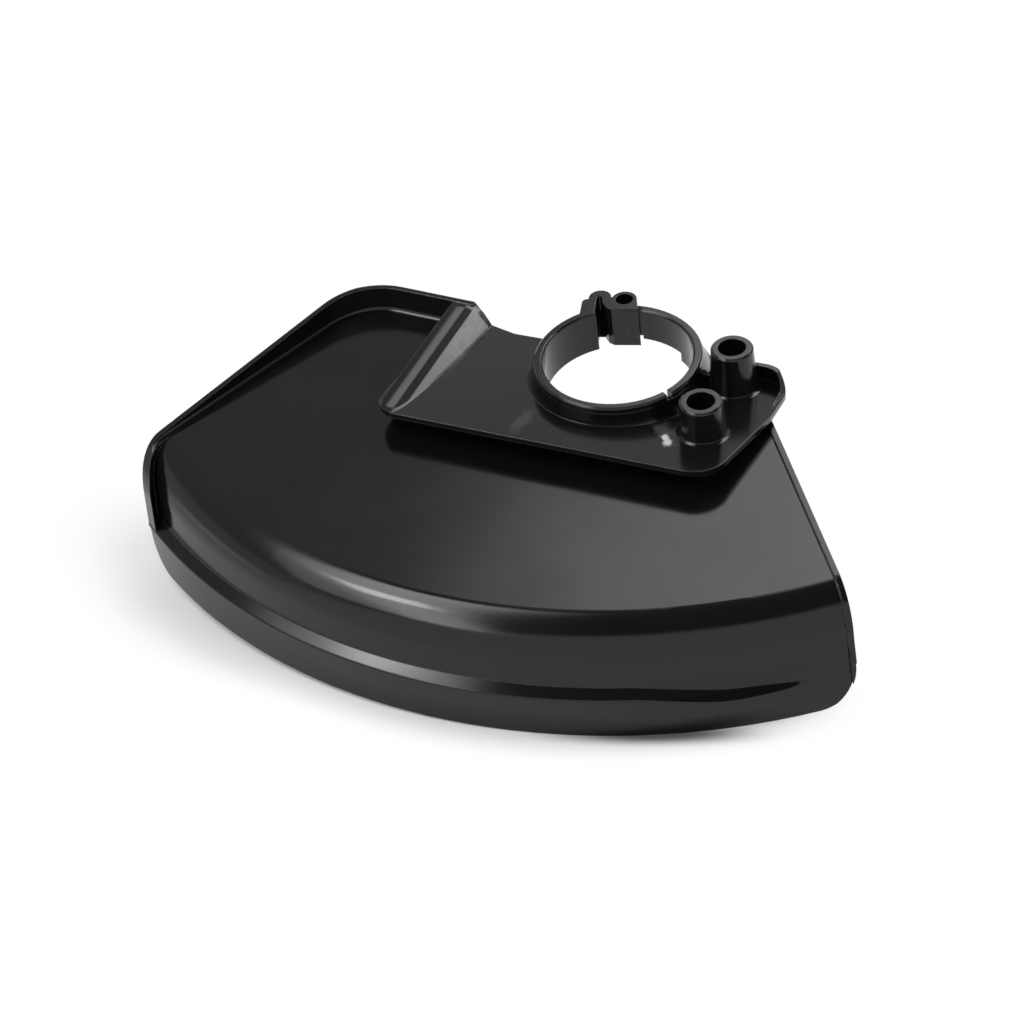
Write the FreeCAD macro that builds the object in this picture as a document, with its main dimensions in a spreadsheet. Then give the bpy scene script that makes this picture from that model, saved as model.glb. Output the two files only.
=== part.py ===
import FreeCAD, Part
import Sketcher
import os

doc = FreeCAD.newDocument("trimmer_blade_guard")

# Nearest two points can be, in millimetres, and still be told apart
NEAR = 0.01

# Driving dimensions in millimetres and degrees
DIMENSIONS = {
    "level": "0",
    "trim": "400",
    "tool_margin": "20",
    # pan: flat fan, rounded brow, steep wall, ledge and skirt, swept about one upright axis
    "wall": "2.2",
    "pan_x": "-20",
    "pan_y": "72.5",
    "pan_sweep": "150",
    "fan_start": "45",
    "brow_radius": "203.35",
    "brow_round": "14.5",
    "wall_run": "4.1",
    "ledge_inner_drop": "20",
    "ledge_width": "4.2",
    "ledge_outer_drop": "22",
    "skirt_draft": "1.1",
    "skirt_drop": "37",
    "skirt_corner": "14",
    "edge_round": "0.8",
    # the ledge fades into one straight wall towards the right end
    "plain_drop": "14.5",
    "fade_run": "15",
    "fade_past": "1",
    "fade_sweep": "60",
    "fade_thinning": "2.6",
    # plan outline of the fan
    "back_left_x": "-115.7",
    "back_left_y": "22.4",
    "back_left_round": "26",
    "front_left_x": "-154.1",
    "front_left_y": "-80.4",
    "front_left_round": "24",
    "end_left_x": "-125.8",
    "end_right_x": "160.1",
    "end_y": "-150.4",
    "back_right_x": "44.3",
    "back_right_y": "17.1",
    "step_low_x": "-48.5",
    "step_low_y": "16.1",
    "step_high_x": "-62",
    "step_high_y": "20.4",
    "step_round": "8",
    # rim along the left and back edges, a low bead on the right edge
    "rim_wall": "2",
    "rim_foot": "1.5",
    "rim_top": "10",
    "rim_fall_y": "16.3",
    "rim_fall_slope": "0.092",
    "rim_split_x": "-40",
    "bead_top": "0.9",
    "lip_setback": "0.15",
    "lip_reach": "4.25",
    "lip_brow_top": "1",
    "lip_rise": "1.4",
    "lip_round": "15",
    # raised bracket with a sloping floor
    "bracket_top": "9.8",
    "bracket_front_y": "-48",
    "floor_slope": "0.118",
    "back_setback": "0.4",
    "bracket_left_x": "-76.5",
    "bracket_left_round": "10",
    "bracket_front_x": "52.5",
    "bracket_front_round": "12",
    "bracket_right_x": "59.6",
    "bracket_bend_y": "-7",
    "bracket_right_y": "17.3",
    "bracket_right_round": "10",
    "side_draft": "0.8",
    "crest_setback": "1",
    "crest_right_x": "-64.6",
    "crest_left_round": "3",
    "crest_round": "7.5",
    "flank_run": "0.7",
    "side_open_y": "-8",
    "side_free_y": "-30",
    "back_wall_thickness": "1.8",
    "back_wall_top": "8.1",
    "back_wall_left_x": "34",
    "back_wall_fall_x": "55",
    # split collar with its post and spring loop
    "bore_radius": "27",
    "collar_wall": "3.3",
    "collar_top": "14.3",
    "collar_chamfer": "0.6",
    "foot_top": "12",
    "foot_spread": "5",
    "foot_height": "11",
    "arm_bottom": "1.5",
    "arm_start": "57",
    "collar_end": "129",
    "post_angle": "105.5",
    "post_face": "27.2",
    "post_left": "-5.4",
    "post_right": "4.4",
    "post_offset": "-1.3",
    "post_reach": "33.4",
    "post_radius": "4.6",
    "post_bore": "3.25",
    "loop_x": "-10.4",
    "loop_reach": "34.6",
    "loop_radius": "4.1",
    "slot_x": "-10.6",
    "slot_width": "1.85",
    "slot_reach": "35.3",
    "throat_x": "-9",
    "throat_reach": "31.2",
    "flare_x": "-7.5",
    "flare_reach": "28.6",
    "web_reach": "32",
    "web_top": "8",
    "groove_width": "1.3",
    "groove_reach": "28.4",
    "lug_x": "-14.75",
    "lug_radius": "1.95",
    "lug_reach": "31.5",
    "leg_start": "24.5",
    "notch_angle": "-33",
    "notch_width": "2.2",
    "notch_depth": "4.5",
    # two screw bosses
    "boss_x": "40.8",
    "boss_rear_y": "7.6",
    "boss_front_y": "-23.5",
    "boss_top": "20.75",
    "boss_radius": "7.5",
    "boss_taper": "0.06",
    "boss_bore": "4.95",
    "boss_chamfer": "0.6",
    "boss_foot": "2.2",
    "boss_foot_round": "2",
    "boss_foot_tuck": "0.3",
    "boss_foot_sink": "0.06",
}

# Sizes worked out from the driving ones
DERIVED = {
    "fan_under": "-wall",
    "half_wall": "wall / 2",
    "fan_middle": "-half_wall",
    "ledge_inner": "brow_radius + wall_run",
    "ledge_inner_z": "-ledge_inner_drop",
    "ledge_outer": "ledge_inner + ledge_width",
    "ledge_outer_z": "-ledge_outer_drop",
    "skirt_radius": "ledge_outer + skirt_draft",
    "skirt_z": "-skirt_drop",
    # slopes of the pan's wall, ledge and skirt, and the inner corners one wall further in
    "wall_slope": "wall_run / ledge_inner_drop",
    "wall_secant": "sqrt(1 + wall_slope ^ 2)",
    "ledge_slope": "(ledge_outer_drop - ledge_inner_drop) / ledge_width",
    "ledge_secant": "sqrt(1 + ledge_slope ^ 2)",
    "skirt_slope": "skirt_draft / (skirt_drop - ledge_outer_drop)",
    "skirt_secant": "sqrt(1 + skirt_slope ^ 2)",
    "brow_inner": "brow_radius + wall * (wall_slope - wall_secant)",
    "inner_shift": "wall * (wall_slope * ledge_secant - wall_secant) / (1 - wall_slope * ledge_slope)",
    "outer_shift": "wall * (skirt_slope * ledge_secant - skirt_secant) / (1 - skirt_slope * ledge_slope)",
    "ledge_under_inner": "ledge_inner + inner_shift",
    "ledge_under_inner_z": "ledge_inner_z - ledge_slope * inner_shift - wall * ledge_secant",
    "ledge_under_outer": "ledge_outer + outer_shift",
    "ledge_under_outer_z": "ledge_outer_z - ledge_slope * outer_shift - wall * ledge_secant",
    "skirt_inner": "skirt_radius - wall * skirt_secant",
    "brow_middle": "(brow_radius + brow_inner) / 2",
    "ledge_middle": "(ledge_inner + ledge_under_inner) / 2",
    "ledge_middle_z": "(ledge_inner_z + ledge_under_inner_z) / 2",
    "skirt_middle": "(ledge_outer + ledge_under_outer) / 2",
    "skirt_middle_z": "(ledge_outer_z + ledge_under_outer_z) / 2",
    "lip_high": "rim_top + rim_wall",
    "lip_bottom_z": "-ledge_outer_drop - edge_round",
    "lip_radius": "ledge_outer - lip_setback",
    "lip_brow_radius": "brow_radius + lip_reach",
    "lip_flat_end": "brow_radius - 2 * brow_round",
    "lip_start": "brow_radius - brow_round",
    "lip_start_top": "lip_brow_top + lip_rise",
    "lip_round_inner": "brow_round - half_wall",
    "brow_round_inner": "brow_round - wall",
    "ceiling": "boss_top + tool_margin",
    "cellar": "-skirt_drop - tool_margin",
    "far_back": "back_left_y + tool_margin",
    "rim_far_top": "rim_top + (end_y - rim_fall_y) * rim_fall_slope",
    "plain_z": "-plain_drop",
    "plain_radius": "brow_radius + wall_slope * plain_drop",
    "plain_slope": "(skirt_radius - plain_radius) / (skirt_drop - plain_drop)",
    "plain_inner": "plain_radius - wall",
    "plain_deep": "plain_radius - tool_margin",
    "plain_outer": "plain_radius + tool_margin",
    "core_radius": "plain_inner - plain_slope * plain_drop",
    "core_low": "plain_low - wall",
    "plain_low": "skirt_radius + plain_slope * tool_margin",
    "plain_low_outer": "plain_low + tool_margin",
    "plain_low_inner": "skirt_radius - wall",
    "fade_fill": "plain_slope * (ledge_inner_drop - plain_drop) + plain_radius - ledge_inner",
    "fade_trim": "ledge_outer - plain_radius - plain_slope * (ledge_outer_drop - plain_drop)",
    "bead_brow": "brow_radius + bead_top",
    "bead_plain": "plain_radius + bead_top",
    "bead_skirt": "skirt_radius + bead_top",
    "bead_round": "brow_round + bead_top",
    "corner_top": "skirt_z + skirt_corner",
    "corner_left": "-skirt_corner",
    "corner_far_left": "-tool_margin",
    "floor_back_top": "bracket_top - floor_slope * (far_back - bracket_front_y)",
    "floor_lean": "atan(floor_slope) / 1 deg",
    "floor_front_y": "bracket_front_y - tool_margin",
    "floor_front_top": "bracket_top + tool_margin * floor_slope",
    "floor_back_under": "floor_back_top - wall",
    "floor_front_under": "floor_front_top - wall",
    "crest_under": "bracket_top - wall",
    "side_low_x": "bracket_left_x - side_draft",
    "crest_left_x": "bracket_left_x + crest_setback",
    "flank_low_x": "crest_right_x + flank_run * (bracket_top + half_wall)",
    "flank_low_z": "-half_wall",
    "flank_secant": "sqrt(1 + flank_run ^ 2)",
    "flank_inner_low_x": "flank_low_x - flank_secant * wall",
    "flank_inner_top_x": "crest_right_x - flank_secant * wall + flank_run * wall",
    "side_inner_top_x": "crest_left_x + wall",
    "side_inner_low_x": "side_low_x + wall",
    "crest_left_inner": "crest_left_round / 2",
    "crest_round_inner": "crest_round / 2",
    "collar_radius": "bore_radius + collar_wall",
    "collar_middle": "bore_radius + collar_wall / 2",
    "foot_radius": "collar_radius + foot_spread",
    "collar_height": "collar_top + wall",
    "foot_low": "foot_top - foot_height",
    "foot_sweep": "360 - collar_end + arm_start",
    "foot_turn": "collar_end + foot_sweep / 2",
    "post_turn": "post_angle - 90",
    "post_back_right": "post_offset + post_radius",
    "slot_round": "slot_width / 2",
    "slot_left": "slot_x - slot_round",
    "slot_right": "slot_x + slot_round",
    "slot_end": "slot_reach - slot_round",
    "groove_right": "post_right + groove_width",
    "lug_left": "lug_x - lug_radius",
    "loop_left": "loop_x - loop_radius",
    "boss_core": "boss_bore - half_wall",
    "boss_base_radius": "boss_radius + boss_taper * boss_top",
    "boss_rear_floor": "bracket_top - floor_slope * (boss_rear_y - bracket_front_y)",
    "boss_front_floor": "bracket_top - floor_slope * (boss_front_y - bracket_front_y)",
    "boss_tube": "boss_top - boss_foot",
    "boss_rear_neck": "boss_radius - boss_foot_tuck + boss_taper * (boss_tube - boss_rear_floor)",
    "boss_front_neck": "boss_radius - boss_foot_tuck + boss_taper * (boss_tube - boss_front_floor)",
    "boss_rear_spread": "boss_rear_neck + boss_foot",
    "boss_front_spread": "boss_front_neck + boss_foot",
    "back_wall_end_top": "bracket_top - floor_slope * (bracket_right_y - bracket_front_y)",
    "bracket_step_low_y": "step_low_y - back_setback",
    "bracket_step_high_y": "step_high_y - rim_wall / 2",
    "bracket_left_back_y": "bracket_step_high_y",
    "flank_tuck": "flank_secant * half_wall",
    "flank_tuck_x": "crest_right_x - flank_tuck",
    "flank_tuck_low_x": "flank_low_x - flank_tuck",
}


def skirt_end(side, start, finish_x, finish_y):
    """Formulas for the azimuth at which a straight edge of the outline meets the skirt."""
    start_x, start_y = start + "_x", start + "_y"
    DERIVED.update({
        side + "_run": "sqrt((%s - %s) ^ 2 + (%s - %s) ^ 2)" % (finish_x, start_x, finish_y, start_y),
        side + "_along_x": "(%s - %s) / %s_run" % (finish_x, start_x, side),
        side + "_along_y": "(%s - %s) / %s_run" % (finish_y, start_y, side),
        side + "_from_x": "%s - pan_x" % start_x,
        side + "_from_y": "%s - pan_y" % start_y,
        side + "_dot": "{0}_from_x * {0}_along_x + {0}_from_y * {0}_along_y".format(side),
        side + "_square": "{0}_from_x ^ 2 + {0}_from_y ^ 2 - skirt_radius ^ 2".format(side),
        side + "_reach": "sqrt({0}_dot ^ 2 - {0}_square) - {0}_dot".format(side),
        side + "_end_x": "{0}_from_x + {0}_reach * {0}_along_x".format(side),
        side + "_end_y": "{0}_from_y + {0}_reach * {0}_along_y".format(side),
        side + "_azimuth": "atan2({0}_end_x; -{0}_end_y) / 1 deg".format(side),
    })


skirt_end("left", "front_left", "end_left_x", "end_y")
skirt_end("right", "back_right", "end_right_x", "end_y")
DERIVED.update({
    "fade_end": "right_azimuth + fade_past",
    "fade_turn": "fade_end - 90",
    "fill_shift": "fade_fill / sin(fade_run * 1 deg)",
    "trim_shift": "-fade_trim / sin(fade_run * 1 deg)",
    "core_shift": "fill_shift - fade_thinning / sin(fade_sweep / 2 * 1 deg)",
})

dims = doc.addObject("Spreadsheet::Sheet", "dims")
for row, (name, value) in enumerate(DIMENSIONS.items(), start=1):
    dims.set("A%d" % row, name)
    dims.set("B%d" % row, value)
    dims.setAlias("B%d" % row, name)
for row, (name, formula) in enumerate(DERIVED.items(), start=len(DIMENSIONS) + 1):
    dims.set("A%d" % row, name)
    dims.set("B%d" % row, "=" + formula)
    dims.setAlias("B%d" % row, name)
doc.recompute()


def size(name):
    """Value of one sheet alias."""
    return float(getattr(dims, name))


def bind(obj, **expressions):
    """Tie properties to the sheet; a double underscore in a key stands for a dot."""
    for key, expression in expressions.items():
        obj.setExpression(key.replace("__", "."), expression)


def plane(body, role):
    return next(item for item in body.Origin.OriginFeatures if item.Role == role)


def closed_sketch(body, role, corners):
    """Closed polygon on an origin plane, each corner pinned by two sheet aliases."""
    sketch = body.newObject("Sketcher::SketchObject", body.Name + "_sketch")
    sketch.AttachmentSupport = (plane(body, role), [""])
    sketch.MapMode = "FlatFace"
    points = [FreeCAD.Vector(size(x), size(y), 0) for x, y in corners]
    count = len(points)
    for index in range(count):
        sketch.addGeometry(Part.LineSegment(points[index], points[(index + 1) % count]))
    for index, (x, y) in enumerate(corners):
        sketch.addConstraint(Sketcher.Constraint("Coincident", index, 2, (index + 1) % count, 1))
        for kind, name in (("DistanceX", x), ("DistanceY", y)):
            if size(name) == 0:
                axis = -2 if kind == "DistanceX" else -1
                sketch.addConstraint(Sketcher.Constraint("PointOnObject", index, 1, axis))
                continue
            pin = sketch.addConstraint(Sketcher.Constraint(kind, -1, 1, index, 1, size(name)))
            sketch.setExpression("Constraints[%d]" % pin, "dims." + name)
    return sketch


def round_sketch(body, x, y, radius, role="XY_Plane"):
    """Circle on an origin plane, pinned by sheet aliases."""
    sketch = body.newObject("Sketcher::SketchObject", body.Name + "_circle")
    sketch.AttachmentSupport = (plane(body, role), [""])
    sketch.MapMode = "FlatFace"
    centre = FreeCAD.Vector(size(x), size(y), 0)
    sketch.addGeometry(Part.Circle(centre, FreeCAD.Vector(0, 0, 1), size(radius)))
    pins = [
        sketch.addConstraint(Sketcher.Constraint("DistanceX", -1, 1, 0, 3, size(x))),
        sketch.addConstraint(Sketcher.Constraint("DistanceY", -1, 1, 0, 3, size(y))),
        sketch.addConstraint(Sketcher.Constraint("Radius", 0, size(radius))),
    ]
    for pin, name in zip(pins, (x, y, radius)):
        sketch.setExpression("Constraints[%d]" % pin, "dims." + name)
    return sketch


def new_body(name):
    return doc.addObject("PartDesign::Body", name)


def pad_body(name, role, corners, length="dims.trim"):
    """Body with one symmetric pad of a polygon."""
    body = new_body(name)
    sketch = closed_sketch(body, role, corners)
    pad = body.newObject("PartDesign::Pad", name + "_pad")
    pad.Profile = sketch
    pad.SideType = "Symmetric"
    bind(pad, Length=length)
    doc.recompute()
    return body


def half_prism(name, role, corners, start=None, backward=False, length="dims.trim"):
    """Body with one pad that leaves its plane to one side only."""
    body = new_body(name)
    sketch = closed_sketch(body, role, corners)
    if start:
        sketch.setExpression("AttachmentOffset.Base.z", start)
    pad = body.newObject("PartDesign::Pad", name + "_pad")
    pad.Profile = sketch
    pad.Reversed = backward
    bind(pad, Length=length)
    doc.recompute()
    return body


def revolved_body(name, corners, angle="360"):
    """Body with one revolution of a polygon about its own upright axis."""
    body = new_body(name)
    sketch = closed_sketch(body, "XZ_Plane", corners)
    turn = body.newObject("PartDesign::Revolution", name + "_turn")
    turn.Profile = sketch
    turn.ReferenceAxis = (sketch, ["V_Axis"])
    turn.Midplane = True
    bind(turn, Angle=angle)
    doc.recompute()
    return body


def fillet(body, name, edges, radius):
    """Round the named edges of the body's last feature."""
    base = body.Tip
    rounding = body.newObject("PartDesign::Fillet", name)
    rounding.Base = (base, edges)
    bind(rounding, Radius="dims." + radius)
    doc.recompute()


def chamfer(body, name, edges, width):
    """Bevel the named edges of the body's last feature."""
    base = body.Tip
    bevel = body.newObject("PartDesign::Chamfer", name)
    bevel.Base = (base, edges)
    bind(bevel, Size="dims." + width)
    doc.recompute()


def ring_edges(body, radius, height):
    """Circular edges of a revolved body at one radius and height."""
    found = []
    for index, edge in enumerate(body.Tip.Shape.Edges, start=1):
        curve = edge.Curve
        if curve.TypeId != "Part::GeomCircle":
            continue
        if abs(curve.Radius - size(radius)) < NEAR and abs(curve.Center.z - size(height)) < NEAR:
            found.append("Edge%d" % index)
    return found


def upright_edges(body, x, y):
    """Upright edges of a prism at one corner of its outline."""
    found = []
    for index, edge in enumerate(body.Tip.Shape.Edges, start=1):
        first, last = edge.Vertexes[0].Point, edge.Vertexes[-1].Point
        if abs(first.z - last.z) < NEAR:
            continue
        if abs(first.x - size(x)) < NEAR and abs(first.y - size(y)) < NEAR:
            found.append("Edge%d" % index)
    return found


def level_edges(body, x, z):
    """Edges of a prism along Y at one corner of its section."""
    found = []
    for index, edge in enumerate(body.Tip.Shape.Edges, start=1):
        first, last = edge.Vertexes[0].Point, edge.Vertexes[-1].Point
        if abs(first.y - last.y) < NEAR:
            continue
        if abs(first.x - size(x)) < NEAR and abs(first.z - size(z)) < NEAR:
            found.append("Edge%d" % index)
    return found


def boolean(kind, name, base, tools):
    """Part boolean: Cut takes one base, Fuse and Common take all the shapes."""
    if kind == "Cut":
        tool = tools[0]
        if len(tools) > 1:
            tool = boolean("Fuse", name + "_tools", tools[0], tools[1:])
        result = doc.addObject("Part::Cut", name)
        result.Base = base
        result.Tool = tool
    else:
        result = doc.addObject("Part::Multi" + kind, name)
        result.Shapes = [base] + list(tools)
    result.Refine = True
    doc.recompute()
    return result


def cylinder(name, radius, height, x="0", y="0", z="0", angle="360"):
    solid = doc.addObject("Part::Cylinder", name)
    bind(solid, Radius=radius, Height=height, Angle=angle)
    bind(solid, Placement__Base__x=x, Placement__Base__y=y, Placement__Base__z=z)
    return solid


def half_space(name, x="-dims.trim / 2", y="-dims.trim / 2", z="-dims.trim / 2"):
    """Box larger than the part, centred on the origin except where a corner is given."""
    solid = doc.addObject("Part::Box", name)
    bind(solid, Length="dims.trim", Width="dims.trim", Height="dims.trim")
    bind(solid, Placement__Base__x=x, Placement__Base__y=y, Placement__Base__z=z)
    return solid


def inset_of(source, name, distance):
    """Prism whose sides lie inside the source's sides by one distance."""
    shrunk = doc.addObject("Part::Offset", name)
    shrunk.Source = source
    shrunk.Join = "Intersection"
    bind(shrunk, Value="-(" + distance + ")")
    doc.recompute()
    return shrunk


def turn_about_z(obj, expression):
    """Turn an object about the upright axis by an angle from the sheet."""
    obj.Placement.Rotation.Axis = FreeCAD.Vector(0, 0, 1)
    bind(obj, Placement__Rotation__Axis__z="1", Placement__Rotation__Angle=expression)


# Pan: one wall swept about the upright axis that the skirt's arcs share
def place_on_pan_axis(body):
    body.Placement = FreeCAD.Placement(
        FreeCAD.Vector(size("pan_x"), size("pan_y"), 0),
        FreeCAD.Rotation(FreeCAD.Vector(0, 0, 1), -90),
    )
    bind(body, Placement__Base__x="dims.pan_x", Placement__Base__y="dims.pan_y")


pan = revolved_body("pan", [
    ("fan_start", "level"),
    ("brow_radius", "level"),
    ("ledge_inner", "ledge_inner_z"),
    ("ledge_outer", "ledge_outer_z"),
    ("skirt_radius", "skirt_z"),
    ("skirt_inner", "skirt_z"),
    ("ledge_under_outer", "ledge_under_outer_z"),
    ("ledge_under_inner", "ledge_under_inner_z"),
    ("brow_inner", "fan_under"),
    ("fan_start", "fan_under"),
], "dims.pan_sweep")
fillet(pan, "pan_brow", ring_edges(pan, "brow_radius", "level"), "brow_round")
fillet(pan, "pan_brow_inner", ring_edges(pan, "brow_inner", "fan_under"), "brow_round_inner")
fillet(pan, "pan_ledge", ring_edges(pan, "ledge_outer", "ledge_outer_z"), "edge_round")
place_on_pan_axis(pan)

# Lip: the space that the rim fills, flush with the skirt at the left end
lip = revolved_body("lip", [
    ("fan_start", "lip_high"),
    ("lip_flat_end", "lip_high"),
    ("lip_start", "lip_start_top"),
    ("lip_brow_radius", "lip_brow_top"),
    ("lip_radius", "lip_bottom_z"),
    ("skirt_middle", "skirt_middle_z"),
    ("ledge_middle", "ledge_middle_z"),
    ("brow_middle", "fan_middle"),
    ("fan_start", "fan_middle"),
], "dims.pan_sweep")
fillet(lip, "lip_brow", ring_edges(lip, "lip_brow_radius", "lip_brow_top"), "lip_round")
fillet(lip, "lip_brow_inner", ring_edges(lip, "brow_middle", "fan_middle"), "lip_round_inner")
place_on_pan_axis(lip)

outline = pad_body("outline", "XY_Plane", [
    ("back_left_x", "back_left_y"),
    ("front_left_x", "front_left_y"),
    ("end_left_x", "end_y"),
    ("end_right_x", "end_y"),
    ("back_right_x", "back_right_y"),
    ("step_low_x", "step_low_y"),
    ("step_high_x", "step_high_y"),
])
fillet(outline, "outline_back", upright_edges(outline, "back_left_x", "back_left_y"), "back_left_round")
fillet(outline, "outline_front", upright_edges(outline, "front_left_x", "front_left_y"), "front_left_round")
fillet(outline, "outline_step", upright_edges(outline, "step_low_x", "step_low_y")
       + upright_edges(outline, "step_high_x", "step_high_y"), "step_round")

# Clear space inside the rim: a rounded foot where the rim meets the fan, a thicker lip below it
inset = inset_of(outline, "inset", "dims.rim_wall")
above_fan = half_space("above_fan", z="0")
inset_above = boolean("Common", "inset_above", inset, [above_fan])
inset_foot = doc.addObject("Part::Fillet", "inset_foot")
inset_foot.Base = inset_above
inset_foot.Edges = [
    (index, size("rim_foot"), size("rim_foot"))
    for index, edge in enumerate(inset_above.Shape.Edges, start=1)
    if edge.BoundBox.ZMax < NEAR
]
inset_low = inset_of(outline, "inset_low", "dims.rim_wall + dims.rim_foot")
below_fan = half_space("below_fan", z="-dims.trim")
inset_below = boolean("Common", "inset_below", inset_low, [below_fan])

# Rim: the lip's space, cleared inside the edge strip and above the falling top line
rim_left_cut = half_prism("rim_left_cut", "YZ_Plane", [
    ("far_back", "rim_top"),
    ("rim_fall_y", "rim_top"),
    ("end_y", "rim_far_top"),
    ("end_y", "ceiling"),
    ("far_back", "ceiling"),
], "dims.rim_split_x", True)
right_half = half_space("right_half", x="dims.rim_split_x")
flank_cut = pad_body("flank_cut", "XZ_Plane", [
    ("flank_tuck_x", "bracket_top"),
    ("flank_tuck_low_x", "flank_low_z"),
    ("rim_split_x", "flank_low_z"),
    ("rim_split_x", "ceiling"),
    ("flank_tuck_x", "ceiling"),
])
rim_space = boolean("Cut", "rim_space", lip, [inset_foot])
rim_strip = boolean("Cut", "rim_strip", rim_space, [inset_below])
rim = boolean("Cut", "rim", rim_strip, [rim_left_cut, right_half, flank_cut])

# Bead along the right edge, over the brow and down to the skirt's corner
bead_ring = revolved_body("bead_ring", [
    ("fan_start", "bead_top"),
    ("bead_brow", "bead_top"),
    ("bead_plain", "plain_z"),
    ("bead_skirt", "skirt_z"),
    ("plain_low_inner", "skirt_z"),
    ("plain_inner", "plain_z"),
    ("brow_middle", "fan_middle"),
    ("fan_start", "fan_middle"),
], "dims.pan_sweep")
fillet(bead_ring, "bead_brow_round", ring_edges(bead_ring, "bead_brow", "bead_top"), "bead_round")
fillet(bead_ring, "bead_brow_inner", ring_edges(bead_ring, "brow_middle", "fan_middle"), "lip_round_inner")
place_on_pan_axis(bead_ring)
bead = boolean("Cut", "bead", boolean("Common", "bead_full", bead_ring, [right_half]), [inset])


# Fade: a straight wall that thins out inside, and a trim outside it, each about an axis of its own
def place_fade(body, shift):
    """Shift the pan's axis along the tangent at the right end, where the shift changes no radius."""
    place_on_pan_axis(body)
    bind(body, Placement__Rotation__Angle="dims.fade_turn")
    bind(body, Placement__Base__x="dims.pan_x + dims.%s * cos(dims.fade_end * 1 deg)" % shift,
         Placement__Base__y="dims.pan_y + dims.%s * sin(dims.fade_end * 1 deg)" % shift)


fade_block = revolved_body("fade_block", [
    ("plain_radius", "plain_z"),
    ("skirt_radius", "skirt_z"),
    ("plain_deep", "skirt_z"),
    ("plain_deep", "plain_z"),
], "dims.fade_sweep")
place_fade(fade_block, "fill_shift")
fade_core = revolved_body("fade_core", [
    ("fan_start", "level"),
    ("core_radius", "level"),
    ("core_low", "cellar"),
    ("fan_start", "cellar"),
], "dims.pan_sweep")
place_fade(fade_core, "core_shift")
fade_wall = boolean("Cut", "fade_wall", fade_block, [fade_core])
fade_trim = revolved_body("fade_trim_ring", [
    ("plain_radius", "plain_z"),
    ("plain_outer", "plain_z"),
    ("plain_low_outer", "cellar"),
    ("plain_low", "cellar"),
], "dims.fade_sweep")
place_fade(fade_trim, "trim_shift")
faded_pan = boolean("Cut", "faded_pan", boolean("Fuse", "pan_and_wall", pan, [fade_wall]), [fade_trim])


# Rounded lower corners at the skirt's two ends
def skirt_corner(side, inner, outer):
    """What lies outside the rounded corner, cut straight out from the pan's axis."""
    body = half_prism("corner_" + side, "XZ_Plane", [
        (inner, "corner_top"),
        (outer, "corner_top"),
        (outer, "cellar"),
        (inner, "cellar"),
    ])
    hole = body.newObject("PartDesign::Pocket", "corner_round_" + side)
    hole.Profile = round_sketch(body, inner, "corner_top", "skirt_corner", "XZ_Plane")
    hole.Reversed = True
    bind(hole, Length="dims.trim")
    bind(body, Placement__Base__x="dims.pan_x", Placement__Base__y="dims.pan_y")
    turn_about_z(body, "dims.%s_azimuth" % side)
    doc.recompute()
    return body


corners = [skirt_corner("left", "skirt_corner", "corner_far_left"),
           skirt_corner("right", "corner_left", "tool_margin")]
pan_and_edges = boolean("Fuse", "pan_and_edges", faded_pan, [rim, bead])
shell = boolean("Cut", "shell", boolean("Common", "trimmed_pan", pan_and_edges, [outline]), corners)

# Bracket: sloping floor, hollow ridge along its left side, plan outline with rounded corners
bracket_outline = pad_body("bracket_outline", "XY_Plane", [
    ("bracket_left_x", "bracket_front_y"),
    ("bracket_front_x", "bracket_front_y"),
    ("bracket_right_x", "bracket_bend_y"),
    ("bracket_right_x", "bracket_right_y"),
    ("step_low_x", "bracket_step_low_y"),
    ("step_high_x", "bracket_step_high_y"),
    ("bracket_left_x", "bracket_left_back_y"),
])
fillet(bracket_outline, "bracket_left_corner",
       upright_edges(bracket_outline, "bracket_left_x", "bracket_front_y"), "bracket_left_round")
fillet(bracket_outline, "bracket_front_corner",
       upright_edges(bracket_outline, "bracket_front_x", "bracket_front_y"), "bracket_front_round")
fillet(bracket_outline, "bracket_right_corner",
       upright_edges(bracket_outline, "bracket_right_x", "bracket_right_y"), "bracket_right_round")
fillet(bracket_outline, "bracket_step", upright_edges(bracket_outline, "step_low_x", "bracket_step_low_y")
       + upright_edges(bracket_outline, "step_high_x", "bracket_step_high_y"), "step_round")

floor = pad_body("floor", "YZ_Plane", [
    ("floor_front_y", "floor_front_top"),
    ("far_back", "floor_back_top"),
    ("far_back", "floor_back_under"),
    ("floor_front_y", "floor_front_under"),
])
under_floor = half_prism("under_floor", "YZ_Plane", [
    ("floor_front_y", "floor_front_under"),
    ("far_back", "floor_back_under"),
    ("far_back", "cellar"),
    ("floor_front_y", "cellar"),
], "dims.side_inner_top_x")
side_opening = half_prism("side_opening", "YZ_Plane", [
    ("side_open_y", "cellar"),
    ("side_open_y", "flank_low_z"),
    ("side_free_y", "crest_under"),
    ("floor_front_y", "crest_under"),
    ("floor_front_y", "cellar"),
], "dims.side_inner_top_x", True)
ridge_outer = pad_body("ridge_outer", "XZ_Plane", [
    ("side_low_x", "flank_low_z"),
    ("crest_left_x", "bracket_top"),
    ("crest_right_x", "bracket_top"),
    ("flank_low_x", "flank_low_z"),
])
fillet(ridge_outer, "ridge_left", level_edges(ridge_outer, "crest_left_x", "bracket_top"),
       "crest_left_round")
fillet(ridge_outer, "ridge_crest", level_edges(ridge_outer, "crest_right_x", "bracket_top"), "crest_round")
ridge_hollow = pad_body("ridge_hollow", "XZ_Plane", [
    ("side_inner_low_x", "flank_low_z"),
    ("side_inner_top_x", "crest_under"),
    ("flank_inner_top_x", "crest_under"),
    ("flank_inner_low_x", "flank_low_z"),
])
fillet(ridge_hollow, "hollow_left", level_edges(ridge_hollow, "side_inner_top_x", "crest_under"),
       "crest_left_inner")
fillet(ridge_hollow, "hollow_crest", level_edges(ridge_hollow, "flank_inner_top_x", "crest_under"),
       "crest_round_inner")
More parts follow.
